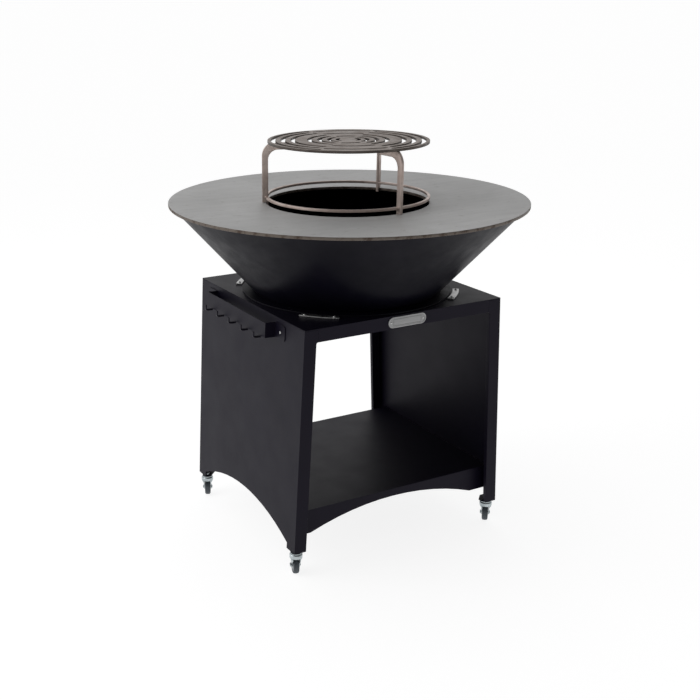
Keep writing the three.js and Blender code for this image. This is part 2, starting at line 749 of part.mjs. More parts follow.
// The rack's frame: X along the stand's depth, Y out of the left panel, Z up the panel
function rackFrame() {
  const tilt = Math.atan(SPLAY);
  const along = new THREE.Vector3(0, 1, 0);
  const out = new THREE.Vector3(-Math.cos(tilt), 0, Math.sin(tilt));
  const up = new THREE.Vector3(Math.sin(tilt), 0, Math.cos(tilt));
  const frame = new THREE.Group();
  frame.quaternion.setFromRotationMatrix(new THREE.Matrix4().makeBasis(along, out, up));
  frame.position.set(-halfWidth(RACK_Z), 0, RACK_Z);
  return frame;
}

function rackTab(side) {
  const root = RACK_HALF_LENGTH - RACK_SHEET;
  const tip = RACK_HALF_LENGTH + RACK_TAB;
  const round = RACK_TAB_CORNER;
  const outline = [
    pair(root, 0),
    ...arc(tip - round, round, round, -QUARTER, 0),
    ...arc(tip - round, RACK_HEIGHT - round, round, 0, QUARTER),
    pair(root, RACK_HEIGHT),
  ];
  return frontPrism(mirrored(outline, side), GAP, GAP + RACK_SHEET).translate(RACK_CENTRE, 0, 0);
}

// A strap under the rack, bent up at its end
function hook(along) {
  const inside = RACK_STANDOFF - RACK_SHEET;
  const tip = RACK_STANDOFF + HOOK_REACH;
  const bend = tip - HOOK_BEND;
  const springing = HOOK_BEND - HOOK_DROP;
  const outline = [
    pair(inside, RACK_SHEET / 2),
    pair(inside, -HOOK_DROP),
    ...arc(bend, springing, HOOK_BEND, -QUARTER, 0),
    pair(tip, HOOK_TIP),
    pair(tip - HOOK_SHEET, HOOK_TIP),
    ...arc(bend, springing, HOOK_BEND - HOOK_SHEET, 0, -QUARTER),
    pair(RACK_STANDOFF, HOOK_SHEET - HOOK_DROP),
    pair(RACK_STANDOFF, RACK_SHEET / 2),
  ];
  return sidePrism(outline, along - HOOK_WIDTH / 2, along + HOOK_WIDTH / 2);
}

function rackBody() {
  const near = RACK_CENTRE - RACK_HALF_LENGTH;
  const far = RACK_CENTRE + RACK_HALF_LENGTH;
  const inside = RACK_STANDOFF - RACK_SHEET;
  const hooks = [];
  for (let i = 0; i < HOOK_COUNT; i += 1) {
    hooks.push(hook(RACK_CENTRE + (i - (HOOK_COUNT - 1) / 2) * HOOK_PITCH));
  }
  return join(
    block(near, far, inside, RACK_STANDOFF, 0, RACK_HEIGHT),
    block(near, near + RACK_SHEET, GAP, RACK_STANDOFF, 0, RACK_HEIGHT),
    block(far - RACK_SHEET, far, GAP, RACK_STANDOFF, 0, RACK_HEIGHT),
    rackTab(-1),
    rackTab(1),
    ...hooks);
}

function addRack() {
  const frame = rackFrame();
  firePit.add(frame);
  const height = RACK_HEIGHT / 2;
  const places = [-1, 1].map((side) => RACK_CENTRE + side * (RACK_HALF_LENGTH + RACK_SCREW_INSET));
  const screwHoles = places.map((along) =>
    new THREE.CylinderGeometry(SCREW_HOLE, SCREW_HOLE, 4 * SHEET, PIN_SIDES).translate(along, 0, height));
  addPiece(frame, "tool_rack", cut(rackBody(), ...screwHoles), BLACK_PAINT);
  places.forEach((along, index) => {
    const name = `rack_screw_${index === 0 ? "front" : "back"}`;
    const piece = addPiece(frame, name, screw(), STAINLESS);
    piece.rotation.x = -QUARTER;
    piece.position.set(along, GAP + RACK_SHEET, height);
  });
  // The left panel takes the screws' shanks
  const panel = firePit.getObjectByName("left_side_panel");
  frame.updateMatrixWorld(true);
  const panelHoles = screwHoles.map((cutter) => cutter.clone().applyMatrix4(frame.matrix));
  panel.geometry = cut(panel.geometry, ...panelHoles);
}

addStand();
addCasters();
addBowl();
addGriddle();
addGrate();
addGuides();
addBadge();
addRack();

export default firePit;
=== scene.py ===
"""Looks of the fire pit with grate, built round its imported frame. Metres, +Z up, front at -Y."""

import json
import math
import random

import bmesh
import bpy
from mathutils import Matrix, Vector, noise


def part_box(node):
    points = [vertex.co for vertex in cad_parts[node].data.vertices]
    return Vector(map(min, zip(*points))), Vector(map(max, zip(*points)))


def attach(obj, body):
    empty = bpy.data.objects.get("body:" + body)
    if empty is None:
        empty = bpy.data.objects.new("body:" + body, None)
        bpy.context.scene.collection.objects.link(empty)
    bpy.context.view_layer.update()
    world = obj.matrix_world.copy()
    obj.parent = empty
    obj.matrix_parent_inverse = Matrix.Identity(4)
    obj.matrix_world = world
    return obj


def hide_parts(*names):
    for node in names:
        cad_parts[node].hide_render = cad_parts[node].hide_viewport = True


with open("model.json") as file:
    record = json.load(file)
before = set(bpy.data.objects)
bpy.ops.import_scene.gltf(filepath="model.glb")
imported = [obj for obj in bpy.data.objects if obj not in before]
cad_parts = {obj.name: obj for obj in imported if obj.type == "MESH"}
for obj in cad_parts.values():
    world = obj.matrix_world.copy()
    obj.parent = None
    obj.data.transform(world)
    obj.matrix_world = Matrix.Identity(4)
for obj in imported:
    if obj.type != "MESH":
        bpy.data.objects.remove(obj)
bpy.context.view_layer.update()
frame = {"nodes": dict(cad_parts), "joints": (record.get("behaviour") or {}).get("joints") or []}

MM = 0.001
GAP = 0.3 * MM              # left between pieces that touch on the real object
TAU = 2 * math.pi
scene = bpy.context.scene
corners = ("front_left", "front_right", "back_left", "back_right")

# ---------------------------------------------------------------- camera, floor and light

SENSOR = 36.0
LENS = 56.0
SHIFT = (0.1286, 0.0286)
CAMERA_PLACE = Vector((-1.6206, -2.5705, 1.5217))
CAMERA_FORWARD = Vector((0.43545, 0.83589, -0.33417))
CAMERA_ROLL = math.radians(-0.6526)
ZENITH = 0.56
FRONT = 0.28
RIGHT = 0.8
FLOOR_GLOW = 0.852


def add_camera():
    data = bpy.data.cameras.new("camera")
    data.sensor_width = SENSOR
    data.lens = LENS
    data.shift_x, data.shift_y = SHIFT
    data.clip_end = 100
    camera = bpy.data.objects.new("camera", data)
    scene.collection.objects.link(camera)
    forward = CAMERA_FORWARD.normalized()
    level = forward.cross(Vector((0, 0, 1))).normalized()
    upright = level.cross(forward)
    right = math.cos(CAMERA_ROLL) * level + math.sin(CAMERA_ROLL) * upright
    up = math.cos(CAMERA_ROLL) * upright - math.sin(CAMERA_ROLL) * level
    turn = Matrix((right, up, -forward)).transposed().to_4x4()
    camera.matrix_world = Matrix.Translation(CAMERA_PLACE) @ turn
    scene.camera = camera


def link(obj):
    scene.collection.objects.link(obj)
    return obj


def add_area(name, place, target, size, power):
    data = bpy.data.lights.new(name, "AREA")
    data.shape = "RECTANGLE"
    data.size, data.size_y = size
    data.energy = power
    lamp = link(bpy.data.objects.new(name, data))
    lamp.location = place
    lamp.rotation_euler = (Vector(target) - Vector(place)).to_track_quat("-Z", "Y").to_euler()


def add_world():
    """A white horizon that darkens overhead and behind the camera; the camera itself sees it white."""
    world = bpy.data.worlds.new("studio")
    scene.world = world
    world.use_nodes = True
    tree = world.node_tree
    link_nodes = tree.links.new
    background = tree.nodes["Background"]
    background.inputs["Color"].default_value = (0.985, 0.985, 0.99, 1)
    way = tree.nodes.new("ShaderNodeTexCoord").outputs["Generated"]
    parts = tree.nodes.new("ShaderNodeSeparateXYZ")
    link_nodes(way, parts.inputs[0])

    def ramp(source, low, high, to_low, to_high):
        node = tree.nodes.new("ShaderNodeMapRange")
        node.interpolation_type = "SMOOTHSTEP"
        node.inputs["From Min"].default_value = low
        node.inputs["From Max"].default_value = high
        node.inputs["To Min"].default_value = to_low
        node.inputs["To Max"].default_value = to_high
        link_nodes(source, node.inputs["Value"])
        return node.outputs["Result"]

    def combine(operation, first, second):
        node = tree.nodes.new("ShaderNodeMath")
        node.operation = operation
        for index, value in enumerate((first, second)):
            if isinstance(value, bpy.types.NodeSocket):
                link_nodes(value, node.inputs[index])
            else:
                node.inputs[index].default_value = value
        return node.outputs[0]

    overhead = ramp(parts.outputs["Z"], 0.28, 0.85, 1.0, ZENITH)
    front = ramp(parts.outputs["Y"], -0.7, 0.35, FRONT, 1.0)
    side = ramp(parts.outputs["X"], -0.6, 0.6, 1.0, RIGHT)
    lit = combine("MULTIPLY", combine("MULTIPLY", overhead, front), side)
    seen = tree.nodes.new("ShaderNodeLightPath").outputs["Is Camera Ray"]
    link_nodes(combine("MAXIMUM", lit, seen), background.inputs["Strength"])


def add_studio():
    add_world()
    bm = bmesh.new()
    bmesh.ops.create_grid(bm, x_segments=1, y_segments=1, size=400)
    floor = finish_mesh("floor", bm)
    look = Look("floor_white")
    look.set("Base Color", (0.30, 0.30, 0.30, 1))
    look.set("Roughness", 0.9)
    look.set("Specular IOR Level", 0.0)
    look.set("Emission Color", (1, 1, 1, 1))
    look.set("Emission Strength", FLOOR_GLOW)
    grain = look.noise(scale=300, detail=2)
    look.bump(grain, strength=0.05, distance=0.0005)
    floor.data.materials.append(look.material)
    add_area("left_softbox", (-3.2, 0.8, 2.2), (0, 0, 0.6), (2.4, 2.4), 30)
    add_area("top_softbox", (0.6, 1.6, 3.4), (0, 0, 0.9), (2.6, 2.6), 12)
    scene.view_settings.view_transform = "Standard"


# ---------------------------------------------------------------- materials


class Look:
    """A node material with a Principled shader and the shared object coordinates."""

    def __init__(self, name):
        self.material = bpy.data.materials.new(name)
        self.material.use_nodes = True
        self.tree = self.material.node_tree
        self.shader = self.tree.nodes["Principled BSDF"]
        self.place = self.tree.nodes.new("ShaderNodeTexCoord").outputs["Object"]

    def set(self, socket, value):
        self.shader.inputs[socket].default_value = value

    def wire(self, output, socket):
        self.tree.links.new(output, self.shader.inputs[socket])

    def node(self, kind, **inputs):
        node = self.tree.nodes.new(kind)
        for name, value in inputs.items():
            socket = node.inputs[name.replace("_", " ")]
            if isinstance(value, bpy.types.NodeSocket):
                self.tree.links.new(value, socket)
            else:
                socket.default_value = value
        return node

    def stretched(self, scale, turn=(0, 0, 0)):
        return self.node("ShaderNodeMapping", Vector=self.place, Scale=scale, Rotation=turn).outputs["Vector"]

    def noise(self, scale, detail=4.0, roughness=0.55, at=None, distortion=0.0):
        return self.node("ShaderNodeTexNoise", Vector=at or self.place, Scale=scale, Detail=detail,
                         Roughness=roughness, Distortion=distortion).outputs["Fac"]

    def cells(self, scale, at=None):
        return self.node("ShaderNodeTexVoronoi", Vector=at or self.place, Scale=scale).outputs["Distance"]

    def remap(self, value, low, high, to_low=0.0, to_high=1.0):
        node = self.node("ShaderNodeMapRange", Value=value)
        node.inputs["From Min"].default_value = low
        node.inputs["From Max"].default_value = high
        node.inputs["To Min"].default_value = to_low
        node.inputs["To Max"].default_value = to_high
        return node.outputs["Result"]

    def math(self, operation, first, second):
        node = self.tree.nodes.new("ShaderNodeMath")
        node.operation = operation
        for index, value in enumerate((first, second)):
            if isinstance(value, bpy.types.NodeSocket):
                self.tree.links.new(value, node.inputs[index])
            else:
                node.inputs[index].default_value = value
        return node.outputs[0]

    def mix(self, factor, first, second):
        node = self.tree.nodes.new("ShaderNodeMix")
        node.data_type = "RGBA"
        for name, value in (("Factor", factor), ("A", first), ("B", second)):
            kind = "VALUE" if name == "Factor" else "RGBA"
            socket = next(s for s in node.inputs if s.name == name and s.type == kind)
            if isinstance(value, bpy.types.NodeSocket):
                self.tree.links.new(value, socket)
            elif name == "Factor":
                socket.default_value = value
            else:
                socket.default_value = (*value[:3], 1)
        return next(s for s in node.outputs if s.type == "RGBA")

    def bump(self, height, strength, distance, under=None):
        node = self.node("ShaderNodeBump", Height=height, Strength=strength, Distance=distance)
        if under is not None:
            self.tree.links.new(under, node.inputs["Normal"])
        self.wire(node.outputs["Normal"], "Normal")
        return node.outputs["Normal"]


def black_paint(name, shine):
    look = Look(name)
    clouds = look.noise(scale=3.5, detail=4)
    blotches = look.remap(clouds, 0.3, 0.75)
    look.wire(look.mix(blotches, (0.0030, 0.0022, 0.0070), (0.0042, 0.0032, 0.0095)), "Base Color")
    grain = look.noise(scale=900, detail=2)
    peel = look.cells(scale=420)
    look.wire(look.remap(look.noise(scale=12, detail=4), 0.3, 0.75, 0.45, 0.52), "Roughness")
    look.set("Specular IOR Level", shine)
    look.set("Specular Tint", (0.93, 0.875, 1.0, 1))
    coarse = look.bump(peel, strength=0.12, distance=0.0003)
    look.bump(grain, strength=0.25, distance=0.0002, under=coarse)
    return look.material


def bowl_paint():
    look = Look("black_heat_paint")
    clouds = look.remap(look.noise(scale=7, detail=6), 0.35, 0.7)
    look.wire(look.mix(clouds, (0.0012, 0.0010, 0.0034), (0.0023, 0.0019, 0.0052)), "Base Color")
    look.wire(look.remap(look.noise(scale=22, detail=5), 0.3, 0.75, 0.40, 0.54), "Roughness")
    look.set("Specular IOR Level", 0.10)
    look.set("Specular Tint", (0.96, 0.945, 1.0, 1))
    look.bump(look.noise(scale=650, detail=3), strength=0.3, distance=0.0003)
    return look.material


def griddle_steel():
    look = Look("griddle_bare_steel")
    clouds = look.noise(scale=4.5, detail=7, roughness=0.62, distortion=0.6)
    streak_space = look.stretched((3.0, 42.0, 3.0), (0, 0, math.radians(-32)))
    streaks = look.noise(scale=1.0, detail=5, roughness=0.6, at=streak_space)
    mixed = look.math("ADD", look.math("MULTIPLY", clouds, 0.65), look.math("MULTIPLY", streaks, 0.35))
    tone = look.mix(look.remap(mixed, 0.34, 0.66), (0.400, 0.398, 0.393), (0.468, 0.466, 0.461))
    spots = look.remap(look.noise(scale=55, detail=5), 0.60, 0.74)
    freckled = look.mix(look.math("MULTIPLY", spots, 0.30), tone, (0.17, 0.15, 0.13))
    look.wire(freckled, "Base Color")
    look.set("Metallic", 0.25)
    look.set("Specular IOR Level", 0.3)
    look.wire(look.remap(mixed, 0.35, 0.66, 0.58, 0.48), "Roughness")
    fine_space = look.stretched((60.0, 1500.0, 60.0), (0, 0, math.radians(-32)))
    fine = look.noise(scale=1.0, detail=3, at=fine_space)
    waves = look.bump(look.noise(scale=9, detail=3), strength=0.20, distance=0.004)
    look.bump(fine, strength=0.10, distance=0.0001, under=waves)
    return look.material


def griddle_edge():
    look = Look("griddle_cut_edge")
    rust = look.remap(look.noise(scale=38, detail=6, roughness=0.65), 0.48, 0.62)
    look.wire(look.mix(rust, (0.125, 0.105, 0.09), (0.075, 0.052, 0.04)), "Base Color")
    look.set("Metallic", 0.7)
    look.wire(look.remap(rust, 0, 1, 0.5, 0.75), "Roughness")
    cut_space = look.stretched((700.0, 700.0, 60.0))
    look.bump(look.noise(scale=1.0, detail=3, at=cut_space), strength=0.4, distance=0.0003)
    return look.material


def grate_steel(name, dark, light):
    look = Look(name)
    tint = look.remap(look.noise(scale=14, detail=5, roughness=0.6), 0.35, 0.68)
    tone = look.mix(tint, dark, light)
    soot = look.remap(look.noise(scale=60, detail=5), 0.58, 0.75)
    look.wire(look.mix(look.math("MULTIPLY", soot, 0.4), tone, (0.13, 0.10, 0.085)), "Base Color")
    look.set("Metallic", 0.85)
    look.wire(look.remap(look.noise(scale=40, detail=4), 0.3, 0.7, 0.38, 0.56), "Roughness")
    look.bump(look.noise(scale=1100, detail=2), strength=0.25, distance=0.0002)
    return look.material


def brushed(name, dark, light, scale, low, high):
    look = Look(name)
    lines = look.noise(scale=1.0, detail=4, at=look.stretched(scale))
    look.wire(look.mix(look.remap(lines, 0.3, 0.7), dark, light), "Base Color")
    look.set("Metallic", 1.0)
    look.wire(look.remap(lines, 0.3, 0.7, low, high), "Roughness")
    look.bump(lines, strength=0.12, distance=0.0001)
    return look.material


def zinc():
    look = Look("zinc_plate")
    spangle = look.cells(scale=350)
    cast = look.remap(look.noise(scale=60, detail=3), 0.35, 0.65)
    look.wire(look.mix(cast, (0.36, 0.40, 0.415), (0.52, 0.57, 0.585)), "Base Color")
    look.set("Metallic", 1.0)
    look.wire(look.remap(spangle, 0.0, 0.8, 0.22, 0.36), "Roughness")
    look.bump(look.noise(scale=500, detail=2), strength=0.10, distance=0.0002)
    return look.material


def tyre_rubber():
    look = Look("tyre_rubber")
    dust = look.remap(look.noise(scale=90, detail=5), 0.4, 0.7)
    look.wire(look.mix(dust, (0.040, 0.049, 0.058), (0.076, 0.090, 0.102)), "Base Color")
    look.wire(look.remap(dust, 0, 1, 0.55, 0.78), "Roughness")
    look.bump(look.noise(scale=1400, detail=3), strength=0.3, distance=0.0002)
    return look.material


def hub_plastic():
    look = Look("hub_plastic")
    flow = look.remap(look.noise(scale=120, detail=3), 0.3, 0.7)
    look.wire(look.mix(flow, (0.38, 0.40, 0.42), (0.50, 0.525, 0.54)), "Base Color")
    look.wire(look.remap(flow, 0, 1, 0.38, 0.5), "Roughness")
    look.bump(look.noise(scale=900, detail=2), strength=0.15, distance=0.0001)
    return look.material


# ---------------------------------------------------------------- mesh helpers


# Angles in degrees: a sharper edge stays an edge when a piece is shaded smooth
SHARP_ANGLE = 30
TURNED_ANGLE = 35
SHEET_ANGLE = 32
WELD_ANGLE = 80
STRAIGHT = math.radians(172)    # a corner flatter than this needs no rounding
ON_AXIS = 1e-7              # a smaller radius is a point on the axis


def finish_mesh(name, bm, smooth_angle=None):
    bmesh.ops.recalc_face_normals(bm, faces=bm.faces)
    mesh = bpy.data.meshes.new(name)
    bm.to_mesh(mesh)
    bm.free()
    obj = link(bpy.data.objects.new(name, mesh))
    if smooth_angle is not None:
        smooth(obj, smooth_angle)
    return obj


def smooth(obj, degrees):
    obj.data.shade_smooth()
    obj.data.set_sharp_from_angle(angle=math.radians(degrees))


def apply_modifiers(obj):
    depsgraph = bpy.context.evaluated_depsgraph_get()
    mesh = bpy.data.meshes.new_from_object(obj.evaluated_get(depsgraph))
    obj.modifiers.clear()
    old = obj.data
    obj.data = mesh
    bpy.data.meshes.remove(old)
    mesh.name = obj.name


def spun_ring(bm, radius_at, z, segments):
    """Vertices of one ring about Z; radius_at gives its radius at an angle."""
    angles = [TAU * i / segments for i in range(segments)]
    return [bm.verts.new((radius_at(a) * math.cos(a), radius_at(a) * math.sin(a), z)) for a in angles]


def skin(bm, rings):
    """Joins each ring to the next one and closes both ends."""
    count = len(rings[0])
    for low, high in zip(rings, rings[1:]):
        for i in range(count):
            j = (i + 1) % count
            bm.faces.new((low[i], low[j], high[j], high[i]))
    bm.faces.new(rings[-1])
    bm.faces.new(list(reversed(rings[0])))


def turned(name, profile, segments=96, closed=False):
    """Turns [(radius, z), ...] in metres about Z; a point on the axis becomes one vertex."""
    bm = bmesh.new()
    rings = []
    for radius, z in profile:
        if radius < ON_AXIS:
            rings.append([bm.verts.new((0, 0, z))])
            continue
        rings.append(spun_ring(bm, lambda angle: radius, z, segments))
    pairs = list(zip(rings, rings[1:]))
    if closed:
        pairs.append((rings[-1], rings[0]))
    for low, high in pairs:
        for i in range(segments):
            j = (i + 1) % segments
            if len(low) == 1:
                bm.faces.new((low[0], high[i], high[j]))
            elif len(high) == 1:
                bm.faces.new((low[i], high[0], low[j]))
            else:
                bm.faces.new((low[i], high[i], high[j], low[j]))
    return finish_mesh(name, bm, TURNED_ANGLE)


def rounded(corner_points, radius, steps=4, closed=True):
    """The polygon with its corners rounded to at most that radius."""
    result = []
    count = len(corner_points)
    for index, here in enumerate(corner_points):
        here = Vector(here)
        if not closed and index in (0, count - 1):
            result.append(here)
            continue
        before = Vector(corner_points[index - 1]) - here
        after = Vector(corner_points[(index + 1) % count]) - here
        angle = before.angle(after)
        if angle > STRAIGHT:
            result.append(here)
            continue
        reach = min(radius / math.tan(angle / 2), before.length * 0.45, after.length * 0.45)
        start = here + before.normalized() * reach
        end = here + after.normalized() * reach
        for step in range(steps + 1):
            t = step / steps
            result.append(start * (1 - t) ** 2 + here * 2 * t * (1 - t) + end * t ** 2)
    return result


def cut_plate(name, outlines, low, high, edge):
    """A flat plate from low to high over closed outlines; inner outlines are its holes."""
    curve = bpy.data.curves.new(name, "CURVE")
    curve.dimensions = "2D"
    curve.fill_mode = "BOTH"
    curve.extrude = (high - low) / 2 - edge
    curve.bevel_depth = edge
    curve.bevel_resolution = 2
    curve.offset = -edge
    for outline in outlines:
        spline = curve.splines.new("POLY")
        spline.points.add(len(outline) - 1)
        for point, place in zip(spline.points, outline):
            point.co = (place[0], place[1], 0, 1)
        spline.use_cyclic_u = True
    shape = link(bpy.data.objects.new(name, curve))
    depsgraph = bpy.context.evaluated_depsgraph_get()
    mesh = bpy.data.meshes.new_from_object(shape.evaluated_get(depsgraph))
    bpy.data.objects.remove(shape)
    bpy.data.curves.remove(curve)
    mesh.transform(Matrix.Translation((0, 0, (low + high) / 2)))
    bm = bmesh.new()
    bm.from_mesh(mesh)
    bpy.data.meshes.remove(mesh)
    bmesh.ops.remove_doubles(bm, verts=bm.verts, dist=2e-6)
    return finish_mesh(name, bm, SHARP_ANGLE)


def move(obj, matrix):
    obj.data.transform(matrix)


def arc(x, y, radius, start, end, step=math.radians(2.5)):
    count = max(3, math.ceil(abs(end - start) / step))
    angles = [start + (end - start) * i / count for i in range(count + 1)]
    return [(x + radius * math.cos(a), y + radius * math.sin(a)) for a in angles]


def softened(node, name, width, segments=3):
    """A copy of a sheet-metal node with the small radii that a press leaves on its edges."""
    source = frame["nodes"][node]
    mesh = source.data.copy()
    mesh.materials.clear()
    mesh.name = name
    obj = link(bpy.data.objects.new(name, mesh))
    bm = bmesh.new()
    bm.from_mesh(mesh)
    bmesh.ops.remove_doubles(bm, verts=bm.verts, dist=1e-5)
    bmesh.ops.dissolve_limit(bm, angle_limit=math.radians(1.0), verts=bm.verts, edges=bm.edges)
    bm.to_mesh(mesh)
    bm.free()
    bevel = obj.modifiers.new("edge", "BEVEL")
    bevel.width = width
    bevel.segments = segments
    bevel.limit_method = "ANGLE"
    bevel.angle_limit = math.radians(28)
    apply_modifiers(obj)
    smooth(obj, SHEET_ANGLE)
    normals = obj.modifiers.new("normals", "WEIGHTED_NORMAL")
    normals.keep_sharp = True
    normals.weight = 100
    apply_modifiers(obj)
    return obj


def place_piece(obj, body, slot, look, *nodes):
    """Paints a finished piece, fixes it to its body and hides the nodes that it stands for."""
    obj.data.materials.clear()
    obj.data.materials.append(look)
    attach(obj, body)
    if nodes:
        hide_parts(*nodes)


def second_look(obj, look, wanted):
    """Gives the faces whose normal is wanted another look."""
    obj.data.materials.append(look)
    for face in obj.data.polygons:
        face.material_index = 1 if wanted(face.normal) else 0


def height_of(node):
    low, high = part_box(node)
    return low.z, high.z


add_camera()
add_studio()

BLACK = black_paint("black_powder_coat", 0.135)
# Painted sheen: a copy of the black powder coat with a stronger specular level. It goes on the upward faces
# of the top panel and shelf so they read brighter than the same paint elsewhere.
SHEEN_TOP_BLACK = black_paint("black_powder_coat_painted_sheen_top", 0.225)
BOWL_BLACK = bowl_paint()
GRIDDLE = griddle_steel()
GRIDDLE_EDGE = griddle_edge()
GRATE = grate_steel("grate_steel", (0.160, 0.127, 0.106), (0.245, 0.208, 0.185))
# Painted shade: a dark copy of the grate steel for the slot walls, rim and underside of the disc, where shade
# falls.
GRATE_PAINTED_SHADE = grate_steel("grate_walls_painted_shade", (0.055, 0.045, 0.04), (0.10, 0.085, 0.075))
# Painted light: a much lighter copy of the grate steel for the ring, legs and welds, so the bars read
# brighter than the disc.
GRATE_LIT_BARS = grate_steel("grate_bars_painted_light", (0.43, 0.340, 0.300), (0.61, 0.520, 0.475))
STAINLESS = brushed("stainless_brushed", (0.42, 0.42, 0.42), (0.60, 0.60, 0.59), (60, 60, 900), 0.24, 0.40)
SATIN = brushed("stainless_satin", (0.21, 0.21, 0.213), (0.31, 0.31, 0.31), (30, 400, 900), 0.34, 0.50)
SATIN_RIM = brushed("stainless_satin_rim", (0.26, 0.26, 0.262), (0.40, 0.40, 0.40), (60, 60, 200), 0.34, 0.50)
ENGRAVED = brushed("stainless_engraved", (0.07, 0.07, 0.07), (0.12, 0.12, 0.12), (60, 60, 200), 0.5, 0.6)
ZINC = zinc()
TYRE = tyre_rubber()
HUB = hub_plastic()

# ---------------------------------------------------------------- stand

PRESS_RADIUS = 1.1 * MM
RACK_RADIUS = 0.7 * MM
FOOT_PLATE_RADIUS = 0.5 * MM


def build_stand():
    for node in ("left_side_panel", "right_side_panel", "top_panel", "shelf", "tool_rack"):
        piece = softened(node, node + "_sheet", RACK_RADIUS if node == "tool_rack" else PRESS_RADIUS)
        place_piece(piece, "stand", "black_paint", BLACK, node)
        if node in ("top_panel", "shelf"):
            # The upward faces get the copy of the black paint that carries the painted sheen.
            second_look(piece, SHEEN_TOP_BLACK, lambda normal: normal.z > 0.7)
    for corner in corners:
        node = "caster_plate_" + corner
        plate = softened(node, node + "_sheet", FOOT_PLATE_RADIUS)
        place_piece(plate, "stand", "black_paint", BLACK, node)


# ---------------------------------------------------------------- bowl and griddle


BOWL_FLOOR_RADIUS = 266 * MM
BOWL_SHEET = 4 * MM
GRIDDLE_HOLE = 227.5 * MM
GRIDDLE_THICKNESS = 8 * MM
GRIDDLE_ARRIS = 0.9 * MM
GRIDDLE_STEPS = 40          # rings across the plate


def build_bowl():
    low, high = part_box("fire_bowl")
    radius = high.x
    rise = (high.z - low.z) / (radius - BOWL_FLOOR_RADIUS)
    wall = BOWL_SHEET * math.hypot(1, rise) / rise
    inner_floor = low.z + BOWL_SHEET
    profile = [(0, low.z), (BOWL_FLOOR_RADIUS, low.z), (radius, high.z), (radius - wall, high.z),
               (BOWL_FLOOR_RADIUS - wall + BOWL_SHEET / rise, inner_floor), (0, inner_floor)]
    outer = rounded(profile[:4], 0.5 * MM, closed=False)
    inner = rounded(profile[3:], 6 * MM, closed=False)
    bowl = turned("bowl_shell", [tuple(p) for p in outer[:-1] + inner], 192)
    place_piece(bowl, "bowl", "bowl_paint", BOWL_BLACK, "fire_bowl")
    low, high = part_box("bowl_base_plate")
    edge = rounded([(0, low.z), (high.x, low.z), (high.x, high.z), (0, high.z)], 0.9 * MM, closed=False)
    base = turned("bowl_base_disc", [tuple(p) for p in edge], 160)
    place_piece(base, "bowl", "bowl_paint", BOWL_BLACK, "bowl_base_plate")


def build_griddle():
    low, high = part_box("griddle_plate")
    width = high.x - GRIDDLE_HOLE
    dish = (high.z - low.z) - GRIDDLE_THICKNESS
    top = []
    for i in range(GRIDDLE_STEPS + 1):
        part = i / GRIDDLE_STEPS
        top.append((high.x - width * part, high.z - dish * part))
    under = [(r, z - GRIDDLE_THICKNESS) for r, z in reversed(top)]
    ring = under[1:-1] + corner_pair(under[-1], top[0], GRIDDLE_ARRIS)
    ring += top[1:-1] + corner_pair(top[-1], under[0], GRIDDLE_ARRIS, inward=True)
    plate = turned("griddle_disc", ring, 256, closed=True)
    place_piece(plate, "griddle", "griddle_steel", GRIDDLE, "griddle_plate")
    second_look(plate, GRIDDLE_EDGE, lambda normal: abs(normal.z) < 0.75)


def corner_pair(first, second, edge, inward=False):
    """Points of a plate's edge from one rounded arris to the other."""
    way = -1 if inward else 1
    rise = 1 if second[1] > first[1] else -1
    points = []
    for (r, z), base in ((first, 0), (second, 1)):
        for step in range(4):
            t = math.pi / 2 * step / 3
            if base == 0:
                offset = (-edge + edge * math.sin(t), edge - edge * math.cos(t))
            else:
                offset = (-edge + edge * math.cos(t), -(edge - edge * math.sin(t)))
            points.append((r + way * offset[0], z + rise * offset[1]))
    return points


# ---------------------------------------------------------------- grate stand

GRATE_RADIUS = 222.3 * MM
LOBE_AXIS = math.radians(154.4)
# radius and width in millimetres, half angle in degrees
LOBE_SLOTS = ((207, 13, 62), (180, 13, 57), (153, 13, 59), (107, 12.5, 58), (79, 12, 54), (53, 11, 49),
              (30, 10, 38))
CROSS_SLOTS = ((187, 11, 25), (130, 11, 24), (70, 11, 18))
SLOT_SAG = 0.06 * MM        # how far a chord may stray from a slot's arc
LEGS = (("right", 34.4), ("left", 154.4), ("front", 274.4))
LEG_OUTER = 238 * MM
LEG_DEPTH = 17 * MM         # of the flat bar, seen from its side
LEG_HALF_WIDTH = 4 * MM
LEG_BEND = 40 * MM
LEG_HOLLOW = 28 * MM        # radius inside the bend
LEG_FOOT = 947.97 * MM      # where a leg stands on the griddle
ARM_END = 142 * MM
LUG_OUTER = 226.2 * MM
LUG_BOTTOM = 937 * MM
RING_WIDTH = 8 * MM
WELD = 1.7 * MM             # half the thickness of a bead


def slot_outline(radius, width, half, azimuth):
    start, end = azimuth - half, azimuth + half
    cap = width / 2
    fine = math.radians(15)
    far = (radius * math.cos(end), radius * math.sin(end))
    near = (radius * math.cos(start), radius * math.sin(start))
    step = min(math.radians(6), 2 * math.acos(1 - SLOT_SAG / radius))
    return (arc(0, 0, radius + cap, start, end, step)
            + arc(*far, cap, end, end + math.pi, fine)[1:-1]
            + arc(0, 0, radius - cap, end, start, step)
            + arc(*near, cap, start + math.pi, start + TAU, fine)[1:-1])


